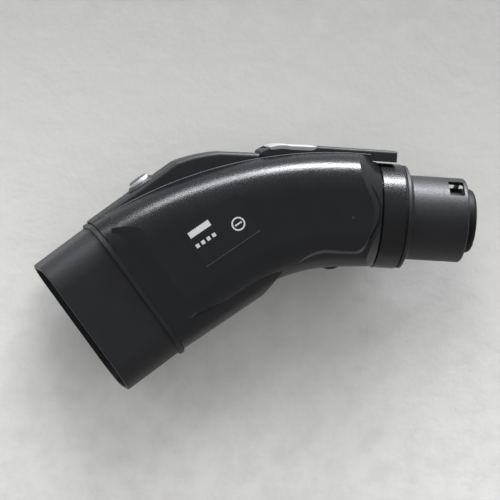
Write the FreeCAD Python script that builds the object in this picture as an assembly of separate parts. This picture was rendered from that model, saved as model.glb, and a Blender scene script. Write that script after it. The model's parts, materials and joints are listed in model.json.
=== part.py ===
"""Electric vehicle charging adapter in millimetres.

The origin is the centre of the plug flange's front face.
X runs out along the plug barrel, Y towards the spine with the button and the thumb lever,
Z towards the side with the label. The adapter lies on the flat panel of the other side.
"""
import math
import os

import FreeCAD, Part

V = FreeCAD.Vector
Z_AXIS = V(0, 0, 1)

# General clearances and walls
slide_gap = 0.05
moving_gap = 0.35
wall = 3.0
thin_wall = 2.5
rib_thick = 2.0

# Half size of the blocks that cut or pick a whole stretch of the adapter
beyond = 130.0

# Bend between the plug axis and the inlet sleeve axis, and the middle of the sleeve seam
bend_deg = 40.0
seam_x = -209.7
seam_y = -67.2

# Top line of the shells, an arc seen from the side
top_arc_x = -45.0
top_arc_r = 341.0
top_peak_y = 47.7
top_arc_y = top_peak_y - top_arc_r

# Side outline of the body: a straight rear underside, an arch and a nearly level front underside
body_half_w = 41.0
body_edge_r = 25.5
rear_line = (-116.5, -62.4)
rear_deg = 37.3
front_line = (-47.0, -41.0)
front_deg = 4.0
arch_r = 126.0
outline_rear_x = -262.0
outline_low_x = -195.0
outline_front_x = -20.0

# Deeper rear part of the underside, which ends in a step
chin_end = (-114.5, -68.9)
chin_step_deg = 58.0
chin_half_w = 38.5
chin_edge_r = 22.0
chin_depth = chin_edge_r + 13.0
chin_len = 150.0

# Low bump on the underside for the fingers
bump_x = -61.0
bump_y = -30.2
bump_r = 14.0
bump_half_w = 15.0
bump_edge_r = 3.0

# Neck, and the cone that takes the front corners down to it
neck_x = -27.0
neck_r = 38.0
shoulder_r = 41.5
shoulder_slope = 0.65
shoulder_len = 260.0

# Raised side panels
panel_rise = 5.0
panel_z = body_half_w + panel_rise
panel_edge_r = 29.0
panel_depth = 9.0
panel_foot_z = 14.0
panel_top_drop = 0.5
panel_corners = [(-209.0, 70.0, 0.0), (-210.0, -34.0, 26.0), (-168.5, -81.1, 12.0), (-76.7, -26.0, 40.0),
                 (-41.0, -25.0, 14.0), (-28.5, 3.0, 24.0), (-64.0, 70.0, 0.0)]
panel_spread = [27.0, 17.0, 5.0, 5.0, 5.0, 5.0, 0.0]

# Slot between the shells for the spine and the lever
slot_half = 15.05
ledge_depth = 8.5
ledge_half = 9.0
rail_x = -233.0
slot_rear_x = -262.0
slot_end_x = -60.0
slot_floor_y = 41.6

# Ribs, ears and posts in the shells
hoop_spots = [24.0, 106.0]
hoop_height = 5.0
neck_hoop_x = -38.0
ear_depth = 4.5
ear_half = 6.5
ear_skin = 1.0
shelf_thick = 3.0
shelf_half = 6.0
post_r = 3.0
post_inset = 4.0
post_hole_r = 1.1
post_hole_len = 9.0
tray_rib_spots = [40.0, 64.0, 88.0]
tray_rib_side = 5.5
skin_bite = 2.0

# Spine
spine_half = slot_half - slide_gap
spine_start = (-256.5, -24.6)
spine_peak = (-187.0, 31.6)
spine_mid = (-168.9, 38.4)
spine_hump = (-152.0, 41.8)
spine_end = (-122.0, 42.6)
spine_edge_r = 3.0

# Button on the straight face of the spine
button_along = 0.655
button_r = 8.0
button_rise = 5.5
button_travel = 1.5
bezel_base_r = 11.8
bezel_top_r = 9.6
bezel_rise = 2.6
switch_depth = 9.0

# Thumb lever
lever_half = slot_half - moving_gap
lever_rear_x = -120.8
lever_top_y = 51.1
lever_tip_x = -13.0
lever_under_y = 42.4
lever_edge_r = 2.0
lever_pad_end_x = -72.0
pad_start_x = -117.5
pad_side = 2.2
pad_corner = 4.0
pad_thick = 1.2
hollow_end_x = -78.0
pivot_x = -70.0
pivot_y = 36.5
pivot_r = 2.5
pivot_boss_r = 5.5
pin_reach = 3.5
pin_end_gap = 0.2
spring_x = -104.0
spring_r = 4.0
spring_wire_r = 0.6
spring_turns = 6
spring_guide_len = 2.5
spring_floor_y = 29.0
spring_roof_y = 46.2

# Inlet sleeve and collar
sleeve_half_h = 59.0
sleeve_half_w = 39.0
sleeve_corner = 24.0
sleeve_wall = 3.2
sleeve_mouth_s = -53.5
collar_s = -4.5
collar_half_h = 61.0
collar_rim = 0.8
collar_half_w = body_half_w + collar_rim
collar_corner = 26.5
seam_gap = 0.7
root_step = 2.2
shell_start_s = 0.2
spigot_len = 9.0
lip_s = -7.0
core_seat_s = -3.5
core_half_h = 54.4
core_half_w = 35.2
core_corner = 19.5
lip_width = 3.0

# Inlet contacts in the sleeve frame: height and side offset
signal_block_t = 26.0
signal_ring_r = 25.4
signal_flat_t = 19.0
power_t = -30.0
power_z = 13.5
power_ring_r = 15.5
ring_wall = 2.6
ring_mouth_s = -44.0
core_back_s = 4.5
plate_back_s = 8.5
power_pin_r = 4.0
earth_pin_r = 3.0
pilot_pin_r = 1.5
pin_tip_s = -38.0
pin_shank_r = 6.0
tail_s = 24.0
pilot_t = 35.5
pilot_z = 7.0

# Plug
barrel_r = 33.0
barrel_wall = 3.0
barrel_x = 44.5
barrel_edge_r = 2.0
flange_r = 40.3
flange_back_x = -6.0
flange_front_r = 36.0
flange_rim = 2.6
ring_r = 41.0
ring_x = -26.0
ring_front_x = -7.0
ring_bore_r = 36.0
skirt_x = -22.0
core_r = 25.0
core_front_x = 52.5
core_edge_r = 4.0
core_back_x = -4.0
plate_back_x = -16.0
core_screw_r = 1.2
core_screw_len = 7.0
seal_thick = 3.0
window_x0 = 29.0
window_x1 = 41.0
window_deg = 38.0
window_width = 16.5

# Plug contacts: height, side, bore radius, outer radius, tail end
power_bore_r = 6.0
power_out_r = 7.6
power_tail_x = -42.0
earth_y = -16.0
earth_bore_r = 3.0
earth_out_r = 4.4
aux_y = -14.5
aux_z = 14.5
aux_bore_r = 2.0
aux_out_r = 3.0
signal_bore_r = 1.5
signal_out_r = 2.4
signal_spots = [(14.5, 11.0), (18.0, 4.0), (18.0, -4.0), (14.5, -11.0)]
contact_recess = 2.0
core_screw_spots = [(9.0, 0.0), (-6.0, 0.0), (-21.0, 8.0), (-21.0, -8.0)]
contact_collar = 1.4
contact_collar_len = 3.0
small_tail_x = -24.0

# Bars, cables and electronics
bar_half_t = 2.0
bar_half_z = 8.0
bar_bend_x = -83.0
cable_r = 2.5
board_s0 = 30.0
board_s1 = 92.0
board_t0 = -16.0
board_t1 = 22.0
board_z = 26.0
board_thick = 1.6
board_head_r = 2.4
cell_r = 9.2
cell_len = 65.0
cell_s = 31.0
cell_z = -26.0
cell_rows = [-4.5, 14.5]
tray_floor_z = -38.0

# Shell screws: x, y
screw_spots = [(-214.0, -16.0), (-163.5, -95.1), (-112.0, -46.0), (-60.0, -31.0), (-47.0, 30.0),
               (-136.0, 16.0)]
boss_r = 4.4
screw_r = 1.6
screw_head_r = 3.2
screw_head_h = 2.4
screw_seat_z = -30.0
screw_gap = 0.25
screw_tip_z = 12.0
screw_hole_z = screw_tip_z + 2.0

# Rating label
label_x = -153.0
label_y = -18.0
label_deg = 37.5
label_half_l = 25.5
label_half_h = 17.5
label_corner = 2.0
label_thick = 0.4
label_sink = 0.25


# Placing helpers

def rad(deg):
    return math.radians(deg)


def top_y(x):
    """Height of the shells' top line at x."""
    return top_arc_y + math.sqrt(top_arc_r ** 2 - (x - top_arc_x) ** 2)


def in_sleeve(shape):
    """Move a shape from the sleeve frame to the adapter's frame."""
    shape = shape.copy()
    shape.rotate(V(0, 0, 0), Z_AXIS, bend_deg)
    shape.translate(V(seam_x, seam_y, 0))
    return shape


def sleeve_point(s, t, z=0.0):
    c = math.cos(rad(bend_deg))
    n = math.sin(rad(bend_deg))
    return V(seam_x + s * c - t * n, seam_y + s * n + t * c, z)


def box(x0, x1, y0, y1, z0, z1):
    return Part.makeBox(x1 - x0, y1 - y0, z1 - z0, V(x0, y0, z0))


def rod(radius, x0, x1, y=0.0, z=0.0):
    return Part.makeCylinder(radius, x1 - x0, V(x0, y, z), V(1, 0, 0))


def post(radius, x, y, z0, z1):
    return Part.makeCylinder(radius, z1 - z0, V(x, y, z0), Z_AXIS)


def joined(shapes):
    result = shapes[0].fuse(shapes[1:]) if len(shapes) > 1 else shapes[0]
    return result.removeSplitter()


def mirrored(shape):
    return shape.mirror(V(0, 0, 0), Z_AXIS)


def polygon_prism(points, z0, z1):
    wire = Part.makePolygon([V(x, y, z0) for x, y in points + points[:1]])
    return Part.Face(wire).extrude(V(0, 0, z1 - z0))


def wide_rect(half_h, half_w, radius, x, y=0.0):
    """Rounded rectangle across the x axis, its height along y."""
    return section_wire(V(x, y + half_h, 0), V(x, y - half_h, 0), half_w, radius, 0.0)


def wide_block(half_h, half_w, radius, x0, x1, y=0.0):
    return Part.Face(wide_rect(half_h, half_w, radius, x0, y)).extrude(V(x1 - x0, 0, 0))


def rounded_edges(shape, radius, test):
    """Round the edges whose middle point passes the test."""
    edges = [e for e in shape.Edges if test(e.CenterOfMass, e)]
    return shape.makeFillet(radius, edges)


# Body sections

def section_wire(top, bottom, half_w, radius, inset):
    """Rounded rectangle between a top and a bottom point, standing along z on both sides."""
    up = (top - bottom).normalize()
    centre = (top + bottom) * 0.5
    h = (top - bottom).Length / 2 - inset
    w = half_w - inset
    r = min(radius - inset, w - 0.05, h - 0.05)
    q = r * math.sqrt(0.5)

    def at(a, b):
        return centre + up * a + Z_AXIS * b

    edges = []
    for side_a, side_b in ((1, 1), (-1, 1), (-1, -1), (1, -1)):
        arc_a = side_a * (h - r)
        arc_b = side_b * (w - r)
        on_end = at(side_a * h, arc_b)
        on_side = at(arc_a, side_b * w)
        middle = at(arc_a + side_a * q, arc_b + side_b * q)
        first, last = (on_end, on_side) if side_a == side_b else (on_side, on_end)
        edges.append((first, middle, last))
    parts = []
    for index, (first, middle, last) in enumerate(edges):
        parts.append(Part.Arc(first, middle, last).toShape())
        parts.append(Part.LineSegment(last, edges[(index + 1) % 4][0]).toShape())
    return Part.Wire(parts)


def line_y(line, deg, x):
    return line[1] + math.tan(rad(deg)) * (x - line[0])


def rounded_prism(wire, inset, half_w, edge_r, is_long_edge):
    """Prism on both sides of the middle plane, its long edges rounded, all faces moved in by the inset."""
    face = Part.Face(wire)
    if inset:
        face = face.makeOffset2D(-inset)
    half = half_w - inset
    face.translate(V(0, 0, -half))
    prism = face.extrude(V(0, 0, 2 * half))
    return rounded_edges(prism, edge_r - inset, lambda c, e: abs(abs(c.z) - half) < 0.01 and is_long_edge(e))


def body_outline():
    """Side outline of the body, from behind the seam to the neck."""
    across = math.tan(rad(rear_deg)) - math.tan(rad(front_deg))
    corner_x = (line_y(front_line, front_deg, 0.0) - line_y(rear_line, rear_deg, 0.0)) / across
    corner = V(corner_x, line_y(front_line, front_deg, corner_x), 0)
    rearward = V(-math.cos(rad(rear_deg)), -math.sin(rad(rear_deg)), 0)
    forward = V(math.cos(rad(front_deg)), math.sin(rad(front_deg)), 0)
    half_turn = rad(rear_deg - front_deg) / 2
    reach = arch_r * math.tan(half_turn)
    inward = (rearward + forward).normalize()
    arch_mid = corner + inward * (arch_r / math.cos(half_turn) - arch_r)
    arch_rear = corner + rearward * reach
    arch_front = corner + forward * reach
    top_rear = V(outline_rear_x, top_y(outline_rear_x), 0)
    top_front = V(outline_front_x, top_y(outline_front_x), 0)
    mid_x = (outline_rear_x + outline_front_x) / 2
    low_front = V(outline_front_x, line_y(front_line, front_deg, outline_front_x), 0)
    low_rear = V(outline_low_x, line_y(rear_line, rear_deg, outline_low_x), 0)
    return Part.Wire([Part.Arc(top_rear, V(mid_x, top_y(mid_x), 0), top_front).toShape(),
                      Part.LineSegment(top_front, low_front).toShape(),
                      Part.LineSegment(low_front, arch_front).toShape(),
                      Part.Arc(arch_front, arch_mid, arch_rear).toShape(),
                      Part.LineSegment(arch_rear, low_rear).toShape(),
                      Part.LineSegment(low_rear, top_rear).toShape()])


def along_outline(edge):
    """True for the top arc and the underside, not for the two ends of the outline."""
    at_front = edge.BoundBox.XLength < 1.0
    at_rear = edge.CenterOfMass.x < (outline_rear_x + outline_low_x) / 2 + 10.0
    return not at_front and not at_rear


def bent_prism(inset, half_w, edge_r):
    return rounded_prism(body_outline(), inset, half_w, edge_r, along_outline)


def chin_block(inset):
    """Deeper rear part of the underside; its front end is the step."""
    slope = V(math.cos(rad(rear_deg)), math.sin(rad(rear_deg)), 0)
    step = V(math.cos(rad(chin_step_deg)), math.sin(rad(chin_step_deg)), 0)
    low_front = V(chin_end[0], chin_end[1], 0)
    low_rear = low_front - slope * chin_len
    high_front = low_front + step * (chin_depth / math.sin(rad(chin_step_deg - rear_deg)))
    high_rear = low_rear + V(-slope.y, slope.x, 0) * chin_depth
    wire = Part.makePolygon([low_front, high_front, high_rear, low_rear, low_front])
    return rounded_prism(wire, inset, chin_half_w, chin_edge_r,
                         lambda e: e.Length > chin_len / 2 and e.CenterOfMass.y < low_front.y - chin_edge_r)


def finger_bump(inset):
    bump = post(bump_r - inset, bump_x, bump_y, -bump_half_w + inset, bump_half_w - inset)
    return rounded_edges(bump, bump_edge_r, lambda c, e: e.Length > 1.0 and abs(c.z) > 1.0)


def shoulder_cone(inset):
    """Cone round the plug axis that takes down the front corners, plus all that lies behind it."""
    front = shoulder_r - inset
    back = front + shoulder_slope * shoulder_len
    return Part.makeCone(front, back, shoulder_len, V(neck_x, 0, 0), V(-1, 0, 0))


def shifted_corners(spread):
    """Panel corners with each side moved outwards by its spread."""
    count = len(panel_corners)
    lines = []
    for i in range(count):
        a = V(panel_corners[i][0], panel_corners[i][1], 0)
        b = V(panel_corners[(i + 1) % count][0], panel_corners[(i + 1) % count][1], 0)
        along = (b - a).normalize()
        outward = V(along.y, -along.x, 0)
        lines.append((a + outward * spread[i], along))
    points = []
    for i in range(count):
        (a, da), (b, db) = lines[i - 1], lines[i]
        cross = da.x * db.y - da.y * db.x
        reach = ((b.x - a.x) * db.y - (b.y - a.y) * db.x) / cross
        points.append(a + da * reach)
    return points


def panel_wire(spread, z, extra_r):
    """Bean outline of a side panel at height z."""
    points = shifted_corners(spread)
    count = len(points)
    edges = []
    for i in range(count):
        p = points[i]
        before = (points[i - 1] - p).normalize()
        after = (points[(i + 1) % count] - p).normalize()
        radius = max(panel_corners[i][2] + extra_r, 0.5)
        half_angle = before.getAngle(after) / 2
        reach = radius / math.tan(half_angle)
        middle = p + (before + after).normalize() * (radius / math.sin(half_angle) - radius)
        edges.append((p + before * reach, middle, p + after * reach))
    parts = []
    for i in range(count):
        first, middle, last = edges[i]
        parts.append(Part.Arc(first, middle, last).toShape())
        parts.append(Part.LineSegment(last, edges[(i + 1) % count][0]).toShape())
    wire = Part.Wire(parts)
    wire.translate(V(0, 0, z))
    return wire


def panel_prism(inset):
    """Tapered block of a panel, its sloping sides running down into the body."""
    top_share = 1.0 / panel_depth
    slope_low = panel_wire([d - inset for d in panel_spread], panel_z - panel_depth, -inset)
    slope_high = panel_wire([-d * top_share - inset for d in panel_spread], panel_z + 1.0, -inset)
    slope = Part.makeLoft([slope_low, slope_high], True, True)
    foot = Part.Face(slope_low).extrude(V(0, 0, panel_foot_z - panel_z + panel_depth))
    return slope.fuse(foot)


def body_solid(inset):
    """Bent body with its two raised panels, all faces moved in by the inset."""
    wide = bent_prism(inset + panel_top_drop, panel_z + panel_top_drop, panel_edge_r + panel_top_drop)
    prism = panel_prism(inset)
    panels = [wide.common(prism), wide.common(mirrored(prism))]
    narrow = bent_prism(inset, body_half_w, body_edge_r)
    whole = narrow.fuse([chin_block(inset), finger_bump(inset)] + panels)
    return whole.common(shoulder_cone(inset)).removeSplitter()


# Shells

def arc_band(depth0, depth1, x0, x1, z0, z1):
    """Band that follows the top line between two depths under it."""
    corners = []
    for x, depth in ((x0, depth0), (x1, depth0), (x1, depth1), (x0, depth1)):
        r = top_arc_r - depth
        corners.append(V(x, top_arc_y + math.sqrt(r ** 2 - (x - top_arc_x) ** 2), z0))
    xm = (x0 + x1) / 2
    mids = []
    for depth in (depth0, depth1):
        r = top_arc_r - depth
        mids.append(V(xm, top_arc_y + math.sqrt(r ** 2 - (xm - top_arc_x) ** 2), z0))
    wire = Part.Wire([Part.Arc(corners[0], mids[0], corners[1]).toShape(),
                      Part.LineSegment(corners[1], corners[2]).toShape(),
                      Part.Arc(corners[2], mids[1], corners[3]).toShape(),
                      Part.LineSegment(corners[3], corners[0]).toShape()])
    return Part.Face(wire).extrude(V(0, 0, z1 - z0))


def slot_tool():
    """Everything between the shells' top edges."""
    band = arc_band(ledge_depth, -30.0, slot_rear_x, slot_end_x + 1.0, -slot_half, slot_half)
    front = box(slot_end_x, outline_front_x, slot_floor_y, beyond, -slot_half, slot_half)
    return band.fuse(front)


def slab(x0, x1):
    """Block across the x axis that takes in the whole body."""
    return box(x0, x1, -beyond, beyond, -beyond, beyond)


def cross_ribs(outer, deep):
    """Stiffening ribs round the inside of both shells."""
    slabs = [in_sleeve(slab(s, s + rib_thick)) for s in hoop_spots]
    slabs.append(slab(neck_hoop_x, neck_hoop_x + rib_thick))
    return [s.common(outer).cut(deep) for s in slabs]


def screw_bosses():
    return [post(boss_r, x, y, -panel_z + skin_bite, panel_z - skin_bite) for x, y in screw_spots]


def spine_rails():
    """Ledges on both sides of the slot that carry the spine."""
    web = arc_band(1.2, ledge_depth + 2.5, rail_x, spine_end[0] - 2.0, slot_half, slot_half + 2.5)
    ledge = arc_band(ledge_depth, ledge_depth + 2.5, rail_x, spine_end[0] - 2.0, ledge_half, slot_half + 1.0)
    side = web.fuse(ledge)
    return [side, mirrored(side)]


def lever_ears():
    """Plates with the pivot holes and the two halves of the spring shelf."""
    ear = box(pivot_x - ear_half, pivot_x + ear_half, pivot_y, top_y(pivot_x) - ear_skin,
              slot_half, slot_half + ear_depth)
    ear = ear.fuse(post(ear_half, pivot_x, pivot_y, slot_half, slot_half + ear_depth))
    shelf_y = spring_floor_y - shelf_thick
    web = box(spring_x - shelf_half, spring_x + shelf_half, shelf_y, top_y(spring_x) - ear_skin,
              slot_half, slot_half + thin_wall)
    shelf = box(spring_x - shelf_half, spring_x + shelf_half, shelf_y, spring_floor_y,
                0.0, slot_half + thin_wall)
    side = joined([ear, web, shelf])
    return [side, mirrored(side)]


def board_spots():
    """Corner screws of the board: s, t."""
    ends = (board_s0 + post_inset, board_s1 - post_inset)
    return [(s, t) for s in ends for t in (board_t0 + post_inset, board_t1 - post_inset)]


def board_posts():
    low = board_z + board_thick
    return [in_sleeve(post(post_r, s, t, low, panel_z - skin_bite)) for s, t in board_spots()]


def tray_ribs():
    """Ribs under the battery tray."""
    t0 = cell_rows[0] - tray_rib_side
    t1 = cell_rows[1] + 2 * tray_rib_side
    low = skin_bite - panel_z
    return [in_sleeve(box(s, s + rib_thick, t0, t1, low, tray_floor_z)) for s in tray_rib_spots]


def neck_spigot():
    """Short tube that carries the end ring."""
    outer = rod(ring_bore_r - slide_gap, neck_x - 2.0, skirt_x - 0.3)
    return outer.cut(rod(ring_bore_r - wall, neck_x - 3.0, skirt_x))


def shell_halves():
    outer = body_solid(0.0)
    inner = body_solid(wall)
    deep = body_solid(wall + hoop_height)
    neck_front = rod(neck_r - 0.3, neck_x - 1.5, ring_x - slide_gap)
    hull = outer.cut(inner)
    hull = hull.cut(slab(neck_x, 0.0))
    ring_end = neck_front.cut(rod(ring_bore_r - wall, neck_x - 2.0, ring_x))
    additions = [ring_end, neck_spigot()] + cross_ribs(outer, deep)
    additions += [b.common(outer) for b in screw_bosses()]
    additions += spine_rails() + lever_ears() + board_posts() + tray_ribs()
    hull = hull.fuse(additions)
    hull = hull.cut(slot_tool())
    hull = hull.cut(rod(ring_bore_r - wall, neck_x - 14.0, ring_x + 6.0))
    hull = hull.cut(in_sleeve(slab(-beyond, shell_start_s)))
    pin_end = slot_half + pin_reach
    hull = hull.cut(post(pivot_r + slide_gap, pivot_x, pivot_y, -pin_end, pin_end))
    upper = box(-2 * beyond, 0.0, -beyond, beyond, 0.0, beyond)
    label_half = hull.common(upper)
    floor_half = hull.common(mirrored(upper))
    for x, y in screw_spots:
        floor_half = floor_half.cut(post(screw_r + screw_gap, x, y, screw_seat_z - 1.0, 1.0))
        floor_half = floor_half.cut(post(screw_head_r + screw_gap, x, y, -beyond, screw_seat_z))
        label_half = label_half.cut(post(screw_r, x, y, -1.0, screw_hole_z))
    for s, t in board_spots():
        label_half = label_half.cut(in_sleeve(post(post_hole_r, s, t, board_z, board_z + post_hole_len)))
    label_half = label_half.cut(label_block(panel_z - label_sink, beyond, slide_gap))
    return label_half.removeSplitter(), floor_half.removeSplitter()


def label_block(z0, z1, grow):
    block = box(-label_half_l - grow, label_half_l + grow, -label_half_h - grow, label_half_h + grow, z0, z1)
    block = rounded_edges(block, label_corner, lambda c, e: abs(c.z - (z0 + z1) / 2) < 0.01)
    block.rotate(V(0, 0, 0), Z_AXIS, label_deg)
    block.translate(V(label_x, label_y, 0))
    return block


# Spine with the button

def spine_frame():
    """Middle of the button on the straight face, direction along it and out of it."""
    a = V(spine_start[0], spine_start[1], 0)
    b = V(spine_peak[0], spine_peak[1], 0)
    along = (b - a).normalize()
    return a + (b - a) * button_along, along, V(-along.y, along.x, 0)


def button_turned(profile):
    """Turn a profile of radius and height pairs about the button's axis."""
    centre, along, out = spine_frame()
    points = [centre + along * r + out * h for r, h in profile]
    wire = Part.makePolygon(points + points[:1])
    return Part.Face(wire).revolve(centre, out, 360)


def spine_outline(z0):
    start, peak, mid, hump, end = [V(x, y, z0) for x, y in
                                   (spine_start, spine_peak, spine_mid, spine_hump, spine_end)]
    low_r = top_arc_r - ledge_depth + slide_gap
    low_end = V(end.x, top_arc_y + math.sqrt(low_r ** 2 - (end.x - top_arc_x) ** 2), z0)
    low_start = V(start.x, top_arc_y + math.sqrt(low_r ** 2 - (start.x - top_arc_x) ** 2), z0)
    xm = (start.x + end.x) / 2
    low_mid = V(xm, top_arc_y + math.sqrt(low_r ** 2 - (xm - top_arc_x) ** 2), z0)
    return Part.Wire([Part.LineSegment(start, peak).toShape(), Part.Arc(peak, mid, hump).toShape(),
                      Part.LineSegment(hump, end).toShape(), Part.LineSegment(end, low_end).toShape(),
                      Part.Arc(low_end, low_mid, low_start).toShape(),
                      Part.LineSegment(low_start, start).toShape()])


def spine_cover():
    solid = Part.Face(spine_outline(-spine_half)).extrude(V(0, 0, 2 * spine_half))
    solid = rounded_edges(solid, spine_edge_r,
                          lambda c, e: abs(abs(c.z) - spine_half) < 0.1 and c.y > top_y(c.x) + 0.3
                          and c.x < spine_end[0] - 0.5)
    solid = solid.cut(in_sleeve(slab(-beyond, shell_start_s)))
    seat_t = collar_half_h - root_step + 0.1
    seat = box(-1.0, spigot_len + 0.6, -beyond, seat_t, -beyond, beyond)
    solid = solid.cut(in_sleeve(seat))
    hollow = Part.Face(spine_outline(-spine_half + thin_wall)).extrude(V(0, 0, 2 * (spine_half - thin_wall)))
    hollow.translate(V(1.6, -thin_wall * 1.25, 0))
    lower = hollow.copy()
    lower.translate(V(0, -8.0, 0))
    keep = in_sleeve(slab(thin_wall, 2 * beyond))
    end_keep = slab(-3 * beyond, spine_end[0] - thin_wall)
    solid = solid.cut(hollow.fuse(lower).common(keep).common(end_keep))
    guide = button_turned([(0, -6.5), (button_r + 2.2, -6.5), (button_r + 2.2, -1.0), (0, -1.0)])
    solid = solid.fuse(guide)
    solid = solid.cut(button_turned([(0, -20), (button_r + 0.3, -20), (button_r + 0.3, 4), (0, 4)]))
    return solid.removeSplitter()


def button_bezel():
    hole = button_r + 0.3
    return button_turned([(hole, 0.0), (bezel_base_r, 0.0), (bezel_base_r, 0.7),
                          (bezel_top_r, bezel_rise), (hole, bezel_rise)])


def power_button():
    """Cap with a dished top, a collar under the face and a stem for the switch."""
    return button_turned([(0, -7.4), (2.0, -7.4), (2.0, -3.0), (button_r - 1.0, -3.0), (button_r, -2.0),
                          (button_r, button_rise - 1.0), (button_r - 1.0, button_rise),
                          (5.0, button_rise), (3.5, button_rise - 0.4), (0, button_rise - 0.6)])


def button_switch():
    """Switch block held between the side walls of the spine."""
    centre, along, out = spine_frame()
    half = spine_half - thin_wall - slide_gap
    block = box(-7.0, 7.0, -switch_depth - 5.0, -switch_depth, -half, half)
    knob = Part.makeCylinder(2.0, switch_depth - 7.4 - button_travel, V(0, -switch_depth, 0), V(0, 1, 0))
    block = block.fuse(knob)
    block.rotate(V(0, 0, 0), Z_AXIS, math.degrees(math.atan2(along.y, along.x)))
    block.translate(centre)
    return block


# Lever

def lever_outline(z0):
    rear_low = V(lever_rear_x, 40.6, z0)
    rear = V(lever_rear_x, 44.6, z0)
    bulge = V(-113.2, 48.8, z0)
    crest = V(-97.0, 50.5, z0)
    pad_end = V(lever_pad_end_x, lever_top_y, z0)
    tip = V(lever_tip_x, lever_top_y, z0)
    tip_low = V(lever_tip_x, lever_under_y, z0)
    back = V(-84.0, lever_under_y, z0)
    return Part.Wire([Part.LineSegment(rear_low, rear).toShape(), Part.Arc(rear, bulge, crest).toShape(),
                      Part.LineSegment(crest, pad_end).toShape(), Part.LineSegment(pad_end, tip).toShape(),
                      Part.LineSegment(tip, tip_low).toShape(), Part.LineSegment(tip_low, back).toShape(),
                      Part.LineSegment(back, rear_low).toShape()])


def pad_block(grow):
    """Upright block with the thumb pad's outline."""
    half = lever_half - pad_side + grow
    block = box(pad_start_x - grow, lever_pad_end_x - pad_side + grow, pivot_y, beyond, -half, half)
    return rounded_edges(block, pad_corner, lambda c, e: abs(c.y - (pivot_y + beyond) / 2) < 0.1)


def pad_layer(lever, grow):
    """Top layer of the lever inside the thumb pad's outline."""
    below = lever.copy()
    below.translate(V(0, -pad_thick, 0))
    return pad_block(grow).common(lever).cut(below)


def latch_lever():
    """Lever with its bar, a pivot boss and a hollow underside, and its pad cut out of the top."""
    solid = Part.Face(lever_outline(-lever_half)).extrude(V(0, 0, 2 * lever_half))
    solid = rounded_edges(solid, lever_edge_r, lambda c, e: abs(abs(c.z) - lever_half) < 0.1 and c.y > 46.5
                          and c.x < lever_tip_x - 1.0 and e.Length > 3.0)
    pad = pad_layer(solid, -slide_gap)
    solid = solid.cut(pad_layer(solid, 0.0))
    half = lever_half - thin_wall
    solid = solid.cut(box(lever_rear_x + thin_wall, hollow_end_x, pivot_y - 6.0, spring_roof_y, -half, half))
    boss = post(pivot_boss_r, pivot_x, pivot_y, -lever_half, lever_half)
    neck = box(pivot_x - pivot_boss_r, pivot_x + pivot_boss_r, pivot_y, lever_under_y + 1.0,
               -lever_half, lever_half)
    solid = solid.fuse([boss, neck])
    guide = V(spring_x, spring_roof_y - spring_guide_len, 0)
    solid = solid.fuse(Part.makeCylinder(spring_r - 2 * spring_wire_r, spring_guide_len, guide, V(0, 1, 0)))
    solid = solid.cut(post(pivot_r + slide_gap, pivot_x, pivot_y, -beyond, beyond))
    return solid.removeSplitter(), pad


def latch_pin():
    end = slot_half + pin_reach - pin_end_gap
    return post(pivot_r, pivot_x, pivot_y, -end, end)


def coil_spring(radius, wire_r, length, turns):
    """Compression spring standing on the origin along z."""
    rise = length - 2 * wire_r
    helix = Part.makeHelix(rise / turns, rise, radius)
    profile = Part.Wire(Part.makeCircle(wire_r, V(radius, 0, 0), V(0, 1, 0)))
    spring = Part.Wire(helix).makePipeShell([profile], True, True)
    spring.translate(V(0, 0, wire_r))
    return spring


def latch_spring():
    length = spring_roof_y - spring_floor_y - 2 * slide_gap
    spring = coil_spring(spring_r, spring_wire_r, length, spring_turns)
    spring.rotate(V(0, 0, 0), V(1, 0, 0), -90)
    spring.translate(V(spring_x, spring_floor_y + slide_gap, 0))
    return spring


# Inlet

def inlet_sleeve():
    outer = wide_block(sleeve_half_h, sleeve_half_w, sleeve_corner, sleeve_mouth_s, -2.0)
    outer = rounded_edges(outer, 1.3, lambda c, e: abs(c.x - sleeve_mouth_s) < 0.01)
    collar = wide_block(collar_half_h, collar_half_w, collar_corner, collar_s, -seam_gap)
    collar = rounded_edges(collar, 0.9, lambda c, e: abs(c.x - collar_s) < 0.01)
    root = wide_block(collar_half_h - root_step, collar_half_w - root_step, collar_corner - root_step,
                      -seam_gap - 0.5, shell_start_s - slide_gap)
    step = wall + root_step
    link = wide_block(collar_half_h - step, collar_half_w - step, collar_corner - wall, -seam_gap - 1.0, 1.0)
    tube = joined([outer, collar, root])
    inset = sleeve_wall
    tube = tube.cut(wide_block(sleeve_half_h - inset, sleeve_half_w - inset, sleeve_corner - inset,
                               sleeve_mouth_s - 1.0, lip_s))
    opening = inset + lip_width
    tube = tube.cut(wide_block(sleeve_half_h - opening, sleeve_half_w - opening, sleeve_corner - opening,
                               lip_s - 1.0, core_seat_s + 1.0))
    tube = in_sleeve(tube)
    inside = bent_prism(wall + slide_gap, body_half_w, body_edge_r)
    inside = inside.fuse(chin_block(wall + slide_gap))
    spigot = inside.common(in_sleeve(slab(0.1, spigot_len)))
    tube = tube.fuse([spigot, in_sleeve(link).common(inside)])
    pocket = wide_block(core_half_h + slide_gap, core_half_w + slide_gap, core_corner, core_seat_s, 30.0)
    tube = tube.cut(in_sleeve(pocket))
    return tube.removeSplitter()


def inlet_gasket():
    """Rubber ring that fills the seam between collar and shells."""
    ring = wide_block(collar_half_h - 0.8, collar_half_w - 0.8, collar_corner - 0.8,
                      -seam_gap + slide_gap, shell_start_s - slide_gap)
    ring = ring.cut(wide_block(collar_half_h - 2.15, collar_half_w - 2.15, collar_corner - 2.15, -2.0, 1.0))
    return in_sleeve(ring)


def signal_ring(radius, flat, s0, s1):
    """Round block with a flat top."""
    block = rod(radius, s0, s1, signal_block_t)
    return block.common(box(s0, s1, -beyond, signal_block_t + flat, -beyond, beyond))


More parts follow.
